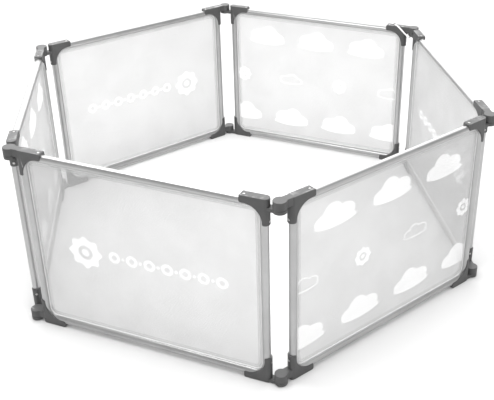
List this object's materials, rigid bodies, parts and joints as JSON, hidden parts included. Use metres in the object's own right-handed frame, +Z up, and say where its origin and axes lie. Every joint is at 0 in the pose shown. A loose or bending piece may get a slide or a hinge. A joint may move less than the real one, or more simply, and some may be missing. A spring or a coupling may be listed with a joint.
{
  "type": "playpen",
  "caption": "Hexagonal freestanding playpen of mesh panels in bent aluminium tube frames, hinged at plastic corner brackets.",
  "frame": {"origin": "on the floor, under the centre of the hexagon", "axes": "+Z up; the front corner is at -Y and the back corner at +Y, so two panels face along X"},
  "size_m": [1.6096, 1.852, 0.6696],
  "materials": {
    "anodised_tube": "satin anodised",
    "mesh_fabric": "fine warp-knit net, white printed motifs",
    "edging_plastic": "soft piping",
    "bracket_plastic": "fine moulded texture",
    "screw_steel": "zinc plated",
    "pin_steel": "turned",
    "strap_webbing": "woven webbing",
    "rivet_plastic": "moulded"
  },
  "bodies": {
    "front_left": {"front_left_frame_tube": "anodised_tube", "front_left_mesh_panel": "mesh_fabric", "front_left_mesh_edging": "edging_plastic", "front_left_top_eye_bracket": "bracket_plastic", "front_left_bottom_eye_bracket": "bracket_plastic", "front_left_top_knuckle_bracket": "bracket_plastic", "front_left_bottom_knuckle_bracket": "bracket_plastic", "front_left_bracket_screws": "screw_steel", "front_left_hinge_pins": "pin_steel"},
    "left": {"left_frame_tube": "anodised_tube", "left_mesh_panel": "mesh_fabric", "left_mesh_edging": "edging_plastic", "left_top_eye_bracket": "bracket_plastic", "left_bottom_eye_bracket": "bracket_plastic", "left_top_knuckle_bracket": "bracket_plastic", "left_bottom_knuckle_bracket": "bracket_plastic", "left_bracket_screws": "screw_steel", "left_hinge_pins": "pin_steel"},
    "back_left": {"back_left_frame_tube": "anodised_tube", "back_left_mesh_panel": "mesh_fabric", "back_left_mesh_edging": "edging_plastic", "back_left_top_eye_bracket": "bracket_plastic", "back_left_bottom_eye_bracket": "bracket_plastic", "back_left_top_knuckle_bracket": "bracket_plastic", "back_left_bottom_knuckle_bracket": "bracket_plastic", "back_left_bracket_screws": "screw_steel", "back_left_hinge_pins": "pin_steel"},
    "back_right": {"back_right_frame_tube": "anodised_tube", "back_right_mesh_panel": "mesh_fabric", "back_right_mesh_edging": "edging_plastic", "back_right_top_eye_bracket": "bracket_plastic", "back_right_bottom_eye_bracket": "bracket_plastic", "back_right_top_knuckle_bracket": "bracket_plastic", "back_right_bottom_knuckle_bracket": "bracket_plastic", "back_right_bracket_screws": "screw_steel", "back_right_hinge_pins": "pin_steel", "closing_strap": "strap_webbing", "strap_rivet": "rivet_plastic"},
    "right": {"right_frame_tube": "anodised_tube", "right_mesh_panel": "mesh_fabric", "right_mesh_edging": "edging_plastic", "right_top_eye_bracket": "bracket_plastic", "right_bottom_eye_bracket": "bracket_plastic", "right_top_knuckle_bracket": "bracket_plastic", "right_bottom_knuckle_bracket": "bracket_plastic", "right_bracket_screws": "screw_steel", "right_hinge_pins": "pin_steel"},
    "front_right": {"front_right_frame_tube": "anodised_tube", "front_right_mesh_panel": "mesh_fabric", "front_right_mesh_edging": "edging_plastic", "front_right_top_eye_bracket": "bracket_plastic", "front_right_bottom_eye_bracket": "bracket_plastic", "front_right_top_knuckle_bracket": "bracket_plastic", "front_right_bottom_knuckle_bracket": "bracket_plastic", "front_right_bracket_screws": "screw_steel", "front_right_hinge_pins": "pin_steel"}
  },
  "joints": [
    {"name": "front_corner_hinge", "type": "hinge", "parent": "front_left", "child": "front_right", "pos_m": [0, -0.905, 0], "axis": [0, 0, 1], "range_deg": [-60, 60]},
    {"name": "front_left_corner_hinge", "type": "hinge", "parent": "left", "child": "front_left", "pos_m": [-0.78375, -0.4525, 0], "axis": [0, 0, 1], "range_deg": [-30, 30]},
    {"name": "front_right_corner_hinge", "type": "hinge", "parent": "front_right", "child": "right", "pos_m": [0.78375, -0.4525, 0], "axis": [0, 0, 1], "range_deg": [-30, 30]},
    {"name": "back_left_corner_hinge", "type": "hinge", "parent": "left", "child": "back_left", "pos_m": [-0.78375, 0.4525, 0], "axis": [0, 0, 1], "range_deg": [-30, 30]},
    {"name": "back_corner_hinge", "type": "hinge", "parent": "back_left", "child": "back_right", "pos_m": [0, 0.905, 0], "axis": [0, 0, 1], "range_deg": [-60, 60]}
  ],
  "couplings": [
    {"joint": "front_left_corner_hinge", "follows": "front_corner_hinge", "ratio": -0.5},
    {"joint": "front_right_corner_hinge", "follows": "front_corner_hinge", "ratio": -0.5},
    {"joint": "back_left_corner_hinge", "follows": "front_corner_hinge", "ratio": 0.5},
    {"joint": "back_corner_hinge", "follows": "front_corner_hinge", "ratio": -1}
  ]
}
